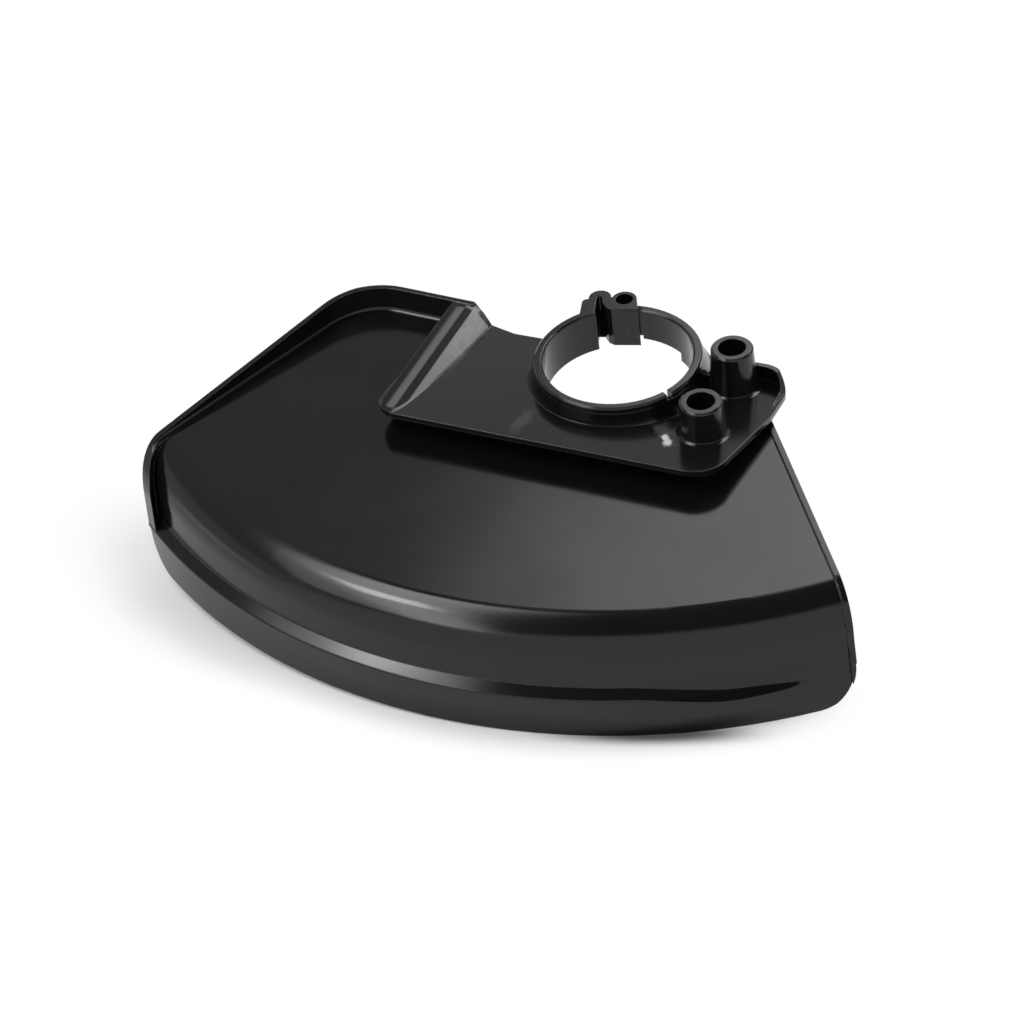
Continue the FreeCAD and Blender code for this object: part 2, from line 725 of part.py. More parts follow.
ridge = boolean("Cut", "ridge", ridge_outer, [ridge_hollow, under_floor, side_opening])
floor_sheet = boolean("Cut", "floor_sheet", floor, [ridge_hollow])
floor_and_ridge = boolean("Fuse", "floor_and_ridge", floor_sheet, [ridge])
bracket = boolean("Common", "bracket", floor_and_ridge, [bracket_outline])

# Back wall: a strip of the bracket's outline that rises behind the rear boss and falls at the corner
bracket_inset = inset_of(bracket_outline, "bracket_inset", "dims.back_wall_thickness")
back_wall_face = half_prism("back_wall_face", "XZ_Plane", [
    ("back_wall_left_x", "flank_low_z"),
    ("back_wall_left_x", "back_wall_top"),
    ("back_wall_fall_x", "back_wall_top"),
    ("bracket_right_x", "back_wall_end_top"),
    ("bracket_right_x", "flank_low_z"),
], None, True)
back_strip = boolean("Cut", "back_strip", bracket_outline, [bracket_inset])
back_wall = boolean("Cut", "back_wall", boolean("Common", "back_wall_full", back_strip, [back_wall_face]),
                    [under_floor])

# Collar: split ring on a spreading foot
collar_ring = revolved_body("collar_ring", [
    ("bore_radius", "fan_under"),
    ("collar_radius", "fan_under"),
    ("collar_radius", "collar_top"),
    ("bore_radius", "collar_top"),
])
chamfer(collar_ring, "collar_edges", ring_edges(collar_ring, "bore_radius", "collar_top")
        + ring_edges(collar_ring, "collar_radius", "collar_top"), "collar_chamfer")
arm_window = cylinder("arm_window", "dims.foot_radius", "dims.arm_bottom - dims.cellar",
                      z="dims.cellar", angle="dims.post_angle - dims.arm_start")
turn_about_z(arm_window, "dims.arm_start")
collar_gap = cylinder("collar_gap", "dims.foot_radius", "dims.ceiling - dims.cellar",
                      z="dims.cellar", angle="dims.collar_end - dims.post_angle")
turn_about_z(collar_gap, "dims.post_angle")
groove = pad_body("groove", "XY_Plane", [
    ("post_right", "leg_start"),
    ("groove_right", "leg_start"),
    ("groove_right", "groove_reach"),
    ("post_right", "groove_reach"),
])
turn_about_z(groove, "dims.post_turn")
collar = boolean("Cut", "collar", collar_ring, [arm_window, collar_gap, groove])
foot_cone = revolved_body("foot_cone", [
    ("collar_middle", "foot_top"),
    ("collar_radius", "foot_top"),
    ("foot_radius", "foot_low"),
    ("collar_middle", "foot_low"),
], "dims.foot_sweep")
turn_about_z(foot_cone, "dims.foot_turn")
foot = boolean("Cut", "foot", foot_cone, [under_floor])


# Post and spring loop at the split, in a frame turned to the post's direction
def collar_feature(kind, body, sketch):
    """Pad or pocket over the collar's whole height, from the fan's underside."""
    feature = body.newObject("PartDesign::" + kind, sketch.Name + "_" + kind.lower())
    feature.Profile = sketch
    if kind == "Pocket":
        feature.Reversed = True
    sketch.setExpression("AttachmentOffset.Base.z", "dims.fan_under")
    bind(feature, Length="dims.collar_height")
    doc.recompute()


post = new_body("post")
collar_feature("Pad", post, round_sketch(post, "loop_x", "loop_reach", "loop_radius"))
collar_feature("Pad", post, closed_sketch(post, "XY_Plane", [
    ("lug_left", "leg_start"),
    ("slot_x", "leg_start"),
    ("slot_x", "loop_reach"),
    ("loop_left", "loop_reach"),
    ("loop_left", "lug_reach"),
    ("lug_left", "lug_reach"),
]))
collar_feature("Pad", post, round_sketch(post, "lug_x", "lug_reach", "lug_radius"))
collar_feature("Pad", post, closed_sketch(post, "XY_Plane", [
    ("slot_x", "loop_reach"),
    ("slot_x", "flare_reach"),
    ("flare_x", "flare_reach"),
    ("post_left", "post_face"),
    ("post_right", "post_face"),
    ("post_back_right", "post_reach"),
    ("post_offset", "post_reach"),
    ("post_offset", "loop_reach"),
]))
collar_feature("Pad", post, round_sketch(post, "post_offset", "post_reach", "post_radius"))
collar_feature("Pocket", post, closed_sketch(post, "XY_Plane", [
    ("slot_left", "leg_start"),
    ("slot_left", "slot_end"),
    ("slot_right", "slot_end"),
    ("throat_x", "throat_reach"),
    ("flare_x", "flare_reach"),
    ("post_left", "post_face"),
    ("post_left", "leg_start"),
]))
collar_feature("Pocket", post, round_sketch(post, "slot_x", "slot_end", "slot_round"))
collar_feature("Pocket", post, round_sketch(post, "post_offset", "post_reach", "post_bore"))
turn_about_z(post, "dims.post_turn")
web = half_prism("web", "YZ_Plane", [
    ("slot_reach", "web_top"),
    ("slot_reach", "fan_under"),
    ("web_reach", "fan_under"),
], "dims.slot_left", False, "dims.throat_x - dims.slot_left")
turn_about_z(web, "dims.post_turn")

# Screw bosses: tapered tubes, each on a hollow-rounded foot that leans with the floor
bosses = []
boss_holes = []
for place in ("rear", "front"):
    boss = revolved_body("boss_" + place, [
        ("boss_core", "level"),
        ("boss_base_radius", "level"),
        ("boss_radius", "boss_top"),
        ("boss_core", "boss_top"),
    ])
    chamfer(boss, "boss_rim_" + place, ring_edges(boss, "boss_radius", "boss_top"), "boss_chamfer")
    bind(boss, Placement__Base__x="dims.boss_x", Placement__Base__y="dims.boss_%s_y" % place)
    neck = "boss_%s_neck" % place
    spread = "boss_%s_spread" % place
    boss_foot = revolved_body("boss_foot_" + place, [
        ("boss_core", "fan_middle"),
        (spread, "fan_middle"),
        (spread, "level"),
        (neck, "level"),
        (neck, "boss_foot"),
        ("boss_core", "boss_foot"),
    ])
    fillet(boss_foot, "boss_foot_round_" + place, ring_edges(boss_foot, neck, "level"), "boss_foot_round")
    boss_foot.Placement.Rotation = FreeCAD.Rotation(FreeCAD.Vector(1, 0, 0), -size("floor_lean"))
    bind(boss_foot, Placement__Base__x="dims.boss_x", Placement__Base__y="dims.boss_%s_y" % place,
         Placement__Base__z="dims.boss_%s_floor - dims.boss_foot_sink" % place,
         Placement__Rotation__Angle="-dims.floor_lean")
    doc.recompute()
    solid = boolean("Fuse", "boss_solid_" + place, boss, [boss_foot])
    bosses.append(boolean("Cut", "boss_cut_" + place, solid, [under_floor]))
    boss_holes.append(cylinder("boss_hole_" + place, "dims.boss_bore", "dims.ceiling - dims.cellar",
                               "dims.boss_x", "dims.boss_%s_y" % place, "dims.cellar"))

# One moulding, then the holes through it
bore = cylinder("bore", "dims.bore_radius", "dims.ceiling - dims.cellar", z="dims.cellar")
notch = doc.addObject("Part::Box", "notch")
bind(notch, Length="dims.foot_radius", Width="dims.notch_width", Height="dims.notch_depth")
bind(notch, Placement__Base__z="dims.collar_top - dims.notch_depth")
turn_about_z(notch, "dims.notch_angle")
doc.recompute()
notched_collar = boolean("Cut", "notched_collar", collar, [notch])
fittings = [bracket, back_wall, notched_collar, foot, post, web] + bosses
moulding = boolean("Fuse", "moulding", shell, fittings)
guard = boolean("Cut", "guard", moulding, [bore] + boss_holes)
guard.Label = "guard"

for item in doc.Objects:
    if "Invalid" in item.State or "Error" in item.State:
        raise RuntimeError("%s is %s" % (item.Name, item.State))
if guard.Shape.isNull() or not guard.Shape.isValid():
    raise RuntimeError("guard has no valid shape")
os.makedirs("parts", exist_ok=True)
guard.Shape.exportStep("parts/guard.step")
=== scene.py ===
import math

import bpy
from mathutils import Matrix, Vector


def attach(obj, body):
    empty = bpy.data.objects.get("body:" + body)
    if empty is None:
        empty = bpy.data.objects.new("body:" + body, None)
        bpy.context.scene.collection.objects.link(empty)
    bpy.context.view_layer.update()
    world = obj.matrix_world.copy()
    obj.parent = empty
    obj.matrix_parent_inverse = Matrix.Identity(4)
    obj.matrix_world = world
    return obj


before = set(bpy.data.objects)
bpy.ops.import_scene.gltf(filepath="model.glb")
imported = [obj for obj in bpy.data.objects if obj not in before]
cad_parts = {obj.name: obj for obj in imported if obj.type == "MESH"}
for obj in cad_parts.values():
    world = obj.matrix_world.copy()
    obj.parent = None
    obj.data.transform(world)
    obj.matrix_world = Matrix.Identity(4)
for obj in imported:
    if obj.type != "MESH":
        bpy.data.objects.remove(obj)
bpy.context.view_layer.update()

# Lengths are metres in the part's frame, and azimuths go round the pan's axis from the front to the right.
# A pair is the start and the end of a smooth change, in degrees for a sweep, or else what its name says.

# The photograph's camera, with its image in pixels and its sensor in millimetres
IMAGE_SIZE = 1024
FOCAL_PIXELS = 2500
SENSOR = 36.0
CAMERA_PLACE = Vector((0.30416, -0.64000, 0.55801))
CAMERA_RIGHT = Vector((0.90995, 0.40085, -0.10632))
CAMERA_DOWN = Vector((0.19139, -0.63334, -0.74983))

# The upright direction, and the factors that leave a place's level part
UP = (0, 0, 1)
LEVEL = (1, 1, 0)

# The skirt's lower edge, round the pan's axis
SKIRT_CENTRE = Vector((-0.020, 0.0725, 0.0))
SKIRT_RADIUS = 0.21275
SKIRT_DROP = 0.037

# The guard stands on the front of its skirt with both ends lifted, so the floor falls to the back
CONTACT_AZIMUTH = math.radians(22)
FLOOR_TILT = math.radians(3.3)
FLOOR_SIZE = 40.0
PART_MIDDLE = Vector((-0.02, -0.06, -0.02))

# Shaded paper in front of the skirt: its reach out from the skirt, its ends, and the shade painted darker
# into its colour on the left
WHITE = (1, 1, 1, 1)
REACH_SWEEP = (-8, -36)
FRONT_REACH = 0.014
LEFT_REACH = 0.034
REACH_FADE = (1.0, 0.05)
INNER_FADE = (-0.06, -0.03)
RIGHT_END_SWEEP = (42, 27)
LEFT_END_SWEEP = (-54, -40)
PAINTED_LEFT_SHADE_SWEEP = (-8, -26)
PAINTED_LEFT_SHADE = 0.88

# Painted contact shadow: an oval under the skirt's front, where the paper's colour is painted dark
CONTACT_LAY = math.radians(17)
CONTACT_HALF_LENGTH = 0.048
CONTACT_HALF_WIDTH = 0.0068
CONTACT_FADE = (1.0, 0.2)
PAPER_TONE = 0.82
PAINTED_CONTACT_SHADOW_TONE = 0.13

# Radiance of the studio's areas, where 1 is a white wall
CEILING = 0.07
FRONT_WALL = 1.0
LEFT_WALL = 0.36
HORIZON = 0.65
LEFT_HORIZON = 1.6
SOFTBOX = 2.2
SOFTBOX_CORE = 3.4
BACK_SOFTBOX = 1.9
BACK_SOFTBOX_RISE = 6.0
KEY_LAMP = 9.0

# Edges of the walls by direction, with the left wall's on a ceiling one unit up
LEAST_HEIGHT = 0.001
CEILING_START = 0.02
FRONT_WAY = (0.416, -0.749, -0.515)
FRONT_EDGE = (-0.10, 0.08)
LEFT_WALL_EDGE = (-0.45, -0.62)
HORIZON_HEIGHT = (0.55, 0.42)
FAR_LEFT_SIDE = (-0.60, -0.95)
FAR_LEFT_HEIGHT = (0.25, 0.02)
FAR_LEFT_DEPTH = (0.10, -0.30)

# Edges of the softboxes on the ceiling
SOFTBOX_RIGHT = (-0.27, -0.39)
SOFTBOX_RIGHT_SLANT = 0.06
SOFTBOX_LEFT = (-0.90, -0.80)
SOFTBOX_LEFT_SLANT = -0.55
SOFTBOX_NEAR = (-1.12, -0.92)
SOFTBOX_FAR = (0.62, 0.50)
SOFTBOX_MIDDLE = -0.50
SOFTBOX_CORE_HALF = 0.34
BACK_LEFT = (-0.63, -0.52)
BACK_RIGHT = (1.6, 1.1)
BACK_NEAR = (0.78, 0.90)
BACK_FAR = (1.9, 1.4)
BACK_RISE_START = -0.58
BACK_RISE_LENGTH = 0.6

# Key lamp, mirrored in the brow
BROW_PLACE = Vector((-0.0365, -0.1242, -0.0013))
KEY_LAMP_WAY = Vector((-0.46, -0.07, 0.885))
KEY_LAMP_DISTANCE = 1.1
KEY_LAMP_SIDE = 0.22

# The ledge's right end: its zone on the wall, its upper and lower edges, and the rise of the normals
# of the wall and the ledge for one unit outward
LEDGE_START_SWEEP = (18, 24)
WALL_RADIUS = (0.200, 0.203)
WALL_TOP = (-0.014, -0.018)
WALL_BOTTOM = (-0.031, -0.028)
UPPER_SWEEP = (20, 31)
UPPER_LEVELS = (-0.0201, -0.02145)
UPPER_END_SWEEP = (29, 38)
UPPER_END_DROP = -0.0030
LOWER_SWEEP = (20, 30)
LOWER_LEVELS = (-0.0220, -0.0257)
LOWER_END_SWEEP = (33, 38)
LOWER_END_RISE = 0.0010
LEDGE_EDGE = (-0.0001, 0.0003)
LEDGE_FADE_SWEEP = (37.5, 33)
WALL_LIFT = 0.28
LEDGE_LIFT = 2.1

# Web in the hollow where the ledge runs out. Its radius grows by the slope for each metre down,
# and shrinks by the taper for each radian to the right
FILL_LEFT = math.radians(36.2)
FILL_RIGHT = math.radians(39.7)
FILL_TOP = -0.0227
FILL_BOTTOM = -0.0277
FILL_RADIUS = 0.20943
FILL_SLOPE = 0.292
FILL_TAPER = 0.01215
FILL_DEPTH = 0.0009
FILL_ROWS = 4
FILL_COLUMNS = 12

# The collar and its flared foot
COLLAR_RADIUS = 0.0303
FOOT_RADIUS = 0.0353
FOOT_START = 0.0002
FOOT_MARGIN = 0.0006
FOOT_LIFT = 3.0
FOOT_FACING = (0.6, 0.75)
FOOT_HEIGHT = (0.0, 0.001)

# The bracket's wedge, from left to right, and the plate it stands on
WEDGE_LEFT = (-0.0755, -0.0740)
WEDGE_CREST = (-0.0740, -0.0697)
CREST_LEANS = (-0.05, 0.10)
WEDGE_VALLEY = (-0.0690, -0.0670)
VALLEY_LEAN = -0.20
WEDGE_FLANK = (-0.0657, -0.0650)
FLANK_LEAN = 0.37
WEDGE_RIGHT = (-0.0585, -0.0590)
WEDGE_BACK = (0.0170, 0.0160)
WEDGE_BASE = (0.0003, 0.0005)
WEDGE_HEIGHT = (0.002, 0.003)
WEDGE_FACING = (0.3, 0.5)
PLATE_SLOPE = 0.118
PLATE_LEVEL = 0.00409

# Plastic, with soft edges, a fine grain, and a gloss between two roughnesses
EDGE_RADIUS = 0.0005
EDGE_SAMPLES = 6
GRAIN_SCALE = 1400.0
GRAIN_DETAIL = 2.0
GRAIN_STRENGTH = 0.04
GRAIN_DEPTH = 0.0002
FLOW_SCALE = 18.0
FLOW_DETAIL = 5.0
FLOW_ROUGHNESS = 0.55
FLOW_RANGE = (0.3, 0.7)
GLOSS_ROUGHNESSES = (0.11, 0.17)
PLASTIC_IOR = 1.42
PLASTIC_TONE = 0.004

# Patches that break up the wear and the painted highlights. A streak is at full strength within these
# shares of its length and width from its middle
PATCH_SCALE = 330.0
PATCH_DETAIL = 4.0
PATCH_MIDDLE = (0.5, 0.5, 0.5)
RAGGED_SHIFT = 0.006
FULL_LENGTH = 0.2
FULL_WIDTH = 0.1

# Wear, painted highlights and marks. A size is a length and a width, and a tone is added to the plastic's
PLATE_TOP = (0.003, 0.005)
# Edges paler, as wear and as a painted edge highlight
EDGE_WEAR_AND_HIGHLIGHT = (0.99, 0.80)
EDGE_WEAR_AND_HIGHLIGHT_PATCHES = (0.25, 0.65)
EDGE_WEAR_AND_HIGHLIGHT_TONE = 0.05
WORN_ROUGHNESS = 0.30
PALE_STREAK_PLACE = (0.0303, -0.0320, 0.0077)
PALE_STREAK_WAY = (0.6, -0.8)
PALE_STREAK_SIZE = (0.0095, 0.0046)
PALE_STREAK_TONE = 0.50
PALE_STREAK_ROUGHNESS = 0.5
PALE_PATCH_PLACE = (0.0275, -0.0270, 0.0077)
PALE_PATCH_SIZE = (0.012, 0.008)
PALE_PATCH_TONE = 0.035
FLOW_MARK_PLACE = (-0.0216, -0.0371, 0.0085)
FLOW_MARK_WAY = (0.0, 1.0)
FLOW_MARK_SIZE = (0.020, 0.007)
FLOW_MARK_TONE = 0.022
# The wedge's flank, paler towards the back: partly rubbed, partly a painted highlight
FLANK_RUB_AND_HIGHLIGHT_RIGHT = (-0.0590, -0.0600)
FLANK_RUB_AND_HIGHLIGHT_LENGTH = (-0.025, 0.014)
FLANK_RUB_AND_HIGHLIGHT_PATCHES = (0.1, 0.6)
FLANK_RUB_AND_HIGHLIGHT_TONE = 0.07


def join(tree, value, socket):
    """Link a socket, or set a plain value."""
    if isinstance(value, bpy.types.NodeSocket):
        tree.links.new(value, socket)
    else:
        socket.default_value = value


def node(tree, kind, **inputs):
    """New shader node with the given input values or links, by socket name."""
    made = tree.nodes.new(kind)
    for name, value in inputs.items():
        join(tree, value, made.inputs[name.replace("_", " ")])
    return made


def calc(tree, operation, *values):
    """Result of one arithmetic node."""
    made = tree.nodes.new("ShaderNodeMath")
    made.operation = operation
    for value, socket in zip(values, made.inputs):
        join(tree, value, socket)
    return made.outputs["Value"]


def ramp(tree, value, start, finish, low=0.0, high=1.0):
    """Smooth change from low to high while the value goes from start to finish."""
    made = node(tree, "ShaderNodeMapRange", Value=value, From_Min=start, From_Max=finish,
                To_Min=low, To_Max=high)
    made.interpolation_type = "SMOOTHSTEP"
    return made.outputs["Result"]


def sweep(tree, azimuth, start, finish, low=0.0, high=1.0):
    """Smooth change from low to high between two azimuths in degrees."""
    return ramp(tree, azimuth, math.radians(start), math.radians(finish), low, high)


def product(tree, first, *others):
    """All the values multiplied."""
    for other in others:
        first = calc(tree, "MULTIPLY", first, other)
    return first


def largest(tree, first, *others):
    """The largest of the values."""
    for other in others:
        first = calc(tree, "MAXIMUM", first, other)
    return first


def vector(tree, operation, first, second=None, scale=None):
    """Output of one vector node: a vector, or a number for a length or a dot product."""
    made = tree.nodes.new("ShaderNodeVectorMath")
    made.operation = operation
    join(tree, first, made.inputs[0])
    if second is not None:
        join(tree, second, made.inputs[1])
    if scale is not None:
        join(tree, scale, made.inputs["Scale"])
    return made.outputs["Value" if operation in ("LENGTH", "DOT_PRODUCT") else "Vector"]


def combine(tree, x, y, z):
    """Vector made of three values."""
    return node(tree, "ShaderNodeCombineXYZ", X=x, Y=y, Z=z).outputs["Vector"]


def separate(tree, place):
    """The X, Y and Z sockets of a vector."""
    return node(tree, "ShaderNodeSeparateXYZ", Vector=place).outputs


def blend(tree, first, second, share):
    """Direction between two others."""
    change = vector(tree, "SCALE", vector(tree, "SUBTRACT", second, first), scale=share)
    return vector(tree, "NORMALIZE", vector(tree, "ADD", first, change))


def raised(tree, outward, lift):
    """Direction that rises by the lift for one unit outward."""
    return vector(tree, "NORMALIZE", vector(tree, "ADD", outward, combine(tree, 0.0, 0.0, lift)))


def from_pan_axis(tree, place):
    """Level offset of a place from the pan's axis."""
    return vector(tree, "MULTIPLY", vector(tree, "SUBTRACT", place, tuple(SKIRT_CENTRE)), LEVEL)


def azimuth_of(tree, offset):
    """Azimuth of a level offset, in radians."""
    parts = separate(tree, offset)
    return calc(tree, "ARCTAN2", parts["X"], calc(tree, "MULTIPLY", parts["Y"], -1.0))


def along_and_across(tree, place, middle, way):
    """Level distances of a place from a middle, along a way and across it."""
    offset = vector(tree, "SUBTRACT", place, middle)
    along = vector(tree, "DOT_PRODUCT", offset, (way[0], way[1], 0))
    across = vector(tree, "DOT_PRODUCT", offset, (-way[1], way[0], 0))
    return along, across


def streak(tree, place, middle, way, length, width):
    """Share of a long mark on a level face, fading to its ends and sides."""
    along, across = along_and_across(tree, place, middle, way)
    ends = ramp(tree, calc(tree, "ABSOLUTE", along), length / 2, FULL_LENGTH * length)
    sides = ramp(tree, calc(tree, "ABSOLUTE", across), width / 2, FULL_WIDTH * width)
    return product(tree, ends, sides)


def make_camera():
    """The camera that the photograph was taken with."""
    data = bpy.data.cameras.new("camera")
    data.sensor_width = SENSOR
    data.lens = FOCAL_PIXELS / IMAGE_SIZE * SENSOR
    data.clip_end = 2 * FLOOR_SIZE
    camera = bpy.data.objects.new("camera", data)
    right = CAMERA_RIGHT.normalized()
    up = -CAMERA_DOWN.normalized()
    back = right.cross(up)
    turn = Matrix((right, up, back)).transposed().to_4x4()
    camera.matrix_world = Matrix.Translation(CAMERA_PLACE) @ turn
    bpy.context.scene.collection.objects.link(camera)
    bpy.context.scene.camera = camera


def outward_way(azimuth):
    """Level direction away from the pan's axis."""
    return Vector((math.sin(azimuth), -math.cos(azimuth), 0.0))


def contact_point():
    """Point of the skirt's lower edge that touches the floor."""
    return SKIRT_CENTRE + outward_way(CONTACT_AZIMUTH) * SKIRT_RADIUS - Vector((0, 0, SKIRT_DROP))


def make_floor():
    """Leaning floor that touches the front of the skirt."""
    normal = Vector((0, 0, math.cos(FLOOR_TILT))) - outward_way(CONTACT_AZIMUTH) * math.sin(FLOOR_TILT)
    middle = PART_MIDDLE - normal * normal.dot(PART_MIDDLE - contact_point())
    mesh = bpy.data.meshes.new("floor")
    half = FLOOR_SIZE / 2
    corners = [(-half, -half, 0), (half, -half, 0), (half, half, 0), (-half, half, 0)]
    mesh.from_pydata(corners, [], [(0, 1, 2, 3)])
    floor = bpy.data.objects.new("floor", mesh)
    floor.matrix_world = Matrix.Translation(middle) @ normal.to_track_quat("Z", "Y").to_matrix().to_4x4()
    bpy.context.scene.collection.objects.link(floor)
    mesh.materials.append(floor_material())


def floor_material():
    """White paper: shaded in front of the skirt, with a painted shadow darkest under its front and painted
    shade on its left, plain white further out.
    """
    material = bpy.data.materials.new("white_floor")
    material.use_nodes = True
    tree = material.node_tree
    tree.nodes.clear()
    place = tree.nodes.new("ShaderNodeNewGeometry").outputs["Position"]
    from_axis = from_pan_axis(tree, place)
    azimuth = azimuth_of(tree, from_axis)
    gap = calc(tree, "SUBTRACT", vector(tree, "LENGTH", from_axis), SKIRT_RADIUS)

    # The shade reaches further out on the left, and fades out towards both ends of the skirt
    reach = sweep(tree, azimuth, *REACH_SWEEP, FRONT_REACH, LEFT_REACH)
    outside = ramp(tree, calc(tree, "DIVIDE", gap, reach), *REACH_FADE)
    inside = ramp(tree, gap, *INNER_FADE)
    right_end = sweep(tree, azimuth, *RIGHT_END_SWEEP)
    left_end = sweep(tree, azimuth, *LEFT_END_SWEEP)
    shaded = product(tree, outside, inside, right_end, left_end)

    # Painted contact shadow: a long oval under the skirt's front, where the paper's colour is painted
    # darker
    lay = (math.cos(CONTACT_LAY), math.sin(CONTACT_LAY))
    along, across = along_and_across(tree, place, tuple(contact_point()), lay)
    long_share = calc(tree, "DIVIDE", along, CONTACT_HALF_LENGTH)
    wide_share = calc(tree, "DIVIDE", across, CONTACT_HALF_WIDTH)
    oval = vector(tree, "LENGTH", combine(tree, long_share, wide_share, 0.0))
    paper_with_painted_shadow = ramp(tree, oval, *CONTACT_FADE, PAPER_TONE, PAINTED_CONTACT_SHADOW_TONE)
    # The paper's colour is painted darker on the left as well, as shade
    tone = product(tree, paper_with_painted_shadow, sweep(tree, azimuth, *PAINTED_LEFT_SHADE_SWEEP, 1.0, PAINTED_LEFT_SHADE))

    paper = node(tree, "ShaderNodeBsdfDiffuse", Color=combine(tree, tone, tone, tone))
    white = node(tree, "ShaderNodeEmission", Color=WHITE, Strength=1.0)
    mix = node(tree, "ShaderNodeMixShader", Fac=shaded)
    tree.links.new(white.outputs["Emission"], mix.inputs[1])
    tree.links.new(paper.outputs["BSDF"], mix.inputs[2])
    output = tree.nodes.new("ShaderNodeOutputMaterial")
    tree.links.new(mix.outputs["Shader"], output.inputs["Surface"])
    return material


def make_world():
    """Studio round the part: dark ceiling, pale front, a long softbox on the left, a wide one behind."""
    world = bpy.data.worlds.new("studio")
    bpy.context.scene.world = world
    world.use_nodes = True
    tree = world.node_tree
    tree.nodes.clear()
    way = tree.nodes.new("ShaderNodeTexCoord").outputs["Generated"]
    x, y, z = separate(tree, way)

    # Where a direction meets a level ceiling one unit up
    height = calc(tree, "MAXIMUM", z, LEAST_HEIGHT)
    across = calc(tree, "DIVIDE", x, height)
    along = calc(tree, "DIVIDE", y, height)
    above = calc(tree, "GREATER_THAN", z, CEILING_START)

    # Front wall, on the camera's side of a line high above the part
    front = ramp(tree, vector(tree, "DOT_PRODUCT", way, FRONT_WAY), *FRONT_EDGE, CEILING, FRONT_WALL)

    # Dim wall on the left, paler towards the horizon all round
    left = product(tree, LEFT_WALL, above, ramp(tree, across, *LEFT_WALL_EDGE))
    horizon = ramp(tree, z, *HORIZON_HEIGHT, 0.0, HORIZON)
    far_left = product(tree, LEFT_HORIZON, ramp(tree, x, *FAR_LEFT_SIDE), ramp(tree, z, *FAR_LEFT_HEIGHT),
                       ramp(tree, y, *FAR_LEFT_DEPTH))

    # Long softbox on the left, brightest along its middle
    right_edge = ramp(tree, calc(tree, "MULTIPLY_ADD", along, SOFTBOX_RIGHT_SLANT, across), *SOFTBOX_RIGHT)
    left_edge = ramp(tree, calc(tree, "MULTIPLY_ADD", along, SOFTBOX_LEFT_SLANT, across), *SOFTBOX_LEFT)
    ends = product(tree, ramp(tree, along, *SOFTBOX_NEAR), ramp(tree, along, *SOFTBOX_FAR))
    off_middle = calc(tree, "ABSOLUTE", calc(tree, "SUBTRACT", across, SOFTBOX_MIDDLE))
    core = ramp(tree, off_middle, SOFTBOX_CORE_HALF, 0.0, SOFTBOX, SOFTBOX + SOFTBOX_CORE)
    softbox = product(tree, core, right_edge, left_edge, ends, above)

    # Wide softbox behind, brighter towards the right
    past_start = calc(tree, "MAXIMUM", calc(tree, "SUBTRACT", across, BACK_RISE_START), 0.0)
    rise = calc(tree, "MINIMUM", past_start, BACK_RISE_LENGTH)
    back_light = calc(tree, "MULTIPLY_ADD", rise, BACK_SOFTBOX_RISE, BACK_SOFTBOX)
    back_sides = product(tree, ramp(tree, across, *BACK_LEFT), ramp(tree, across, *BACK_RIGHT))
    back_ends = product(tree, ramp(tree, along, *BACK_NEAR), ramp(tree, along, *BACK_FAR))
    back_softbox = product(tree, back_light, above, back_sides, back_ends)

    light = largest(tree, front, left, horizon, far_left, softbox, back_softbox)
    sky = node(tree, "ShaderNodeBackground", Color=WHITE, Strength=light)
    output = tree.nodes.new("ShaderNodeOutputWorld")
    tree.links.new(sky.outputs["Background"], output.inputs["Surface"])


def make_key_lamp():
    """Square lamp in the middle of the left softbox, facing the brow."""
    data = bpy.data.lights.new("key_lamp", "AREA")
    data.shape = "SQUARE"
    data.size = KEY_LAMP_SIDE
    data.energy = KEY_LAMP * math.pi * KEY_LAMP_SIDE ** 2
    lamp = bpy.data.objects.new("key_lamp", data)
    way = KEY_LAMP_WAY.normalized()
    lamp.location = BROW_PLACE + KEY_LAMP_DISTANCE * way
    lamp.rotation_euler = (-way).to_track_quat("-Z", "Y").to_euler()
    bpy.context.scene.collection.objects.link(lamp)


def ledge_zone(tree, place):
    """Share of the wall where the ledge sinks and runs out to the right."""
    from_axis = from_pan_axis(tree, place)
    start = sweep(tree, azimuth_of(tree, from_axis), *LEDGE_START_SWEEP)
    on_wall = ramp(tree, vector(tree, "LENGTH", from_axis), *WALL_RADIUS)
    z = separate(tree, place)["Z"]
    return product(tree, start, on_wall, ramp(tree, z, *WALL_TOP), ramp(tree, z, *WALL_BOTTOM))


def ledge_normal(tree, place):
    """Normal in that zone: the plain wall's, or the ledge's between two edges that meet in a point."""
    from_axis = from_pan_axis(tree, place)
    outward = vector(tree, "NORMALIZE", from_axis)
    azimuth = azimuth_of(tree, from_axis)
    z = separate(tree, place)["Z"]
    upper = calc(tree, "ADD", sweep(tree, azimuth, *UPPER_SWEEP, *UPPER_LEVELS),
                 sweep(tree, azimuth, *UPPER_END_SWEEP, 0.0, UPPER_END_DROP))
    lower = calc(tree, "ADD", sweep(tree, azimuth, *LOWER_SWEEP, *LOWER_LEVELS),
                 sweep(tree, azimuth, *LOWER_END_SWEEP, 0.0, LOWER_END_RISE))
    below_upper = ramp(tree, calc(tree, "SUBTRACT", upper, z), *LEDGE_EDGE)
    above_lower = ramp(tree, calc(tree, "SUBTRACT", z, lower), *LEDGE_EDGE)
    on_ledge = product(tree, below_upper, above_lower, sweep(tree, azimuth, *LEDGE_FADE_SWEEP))
    return raised(tree, outward, calc(tree, "MULTIPLY_ADD", on_ledge, LEDGE_LIFT - WALL_LIFT, WALL_LIFT))


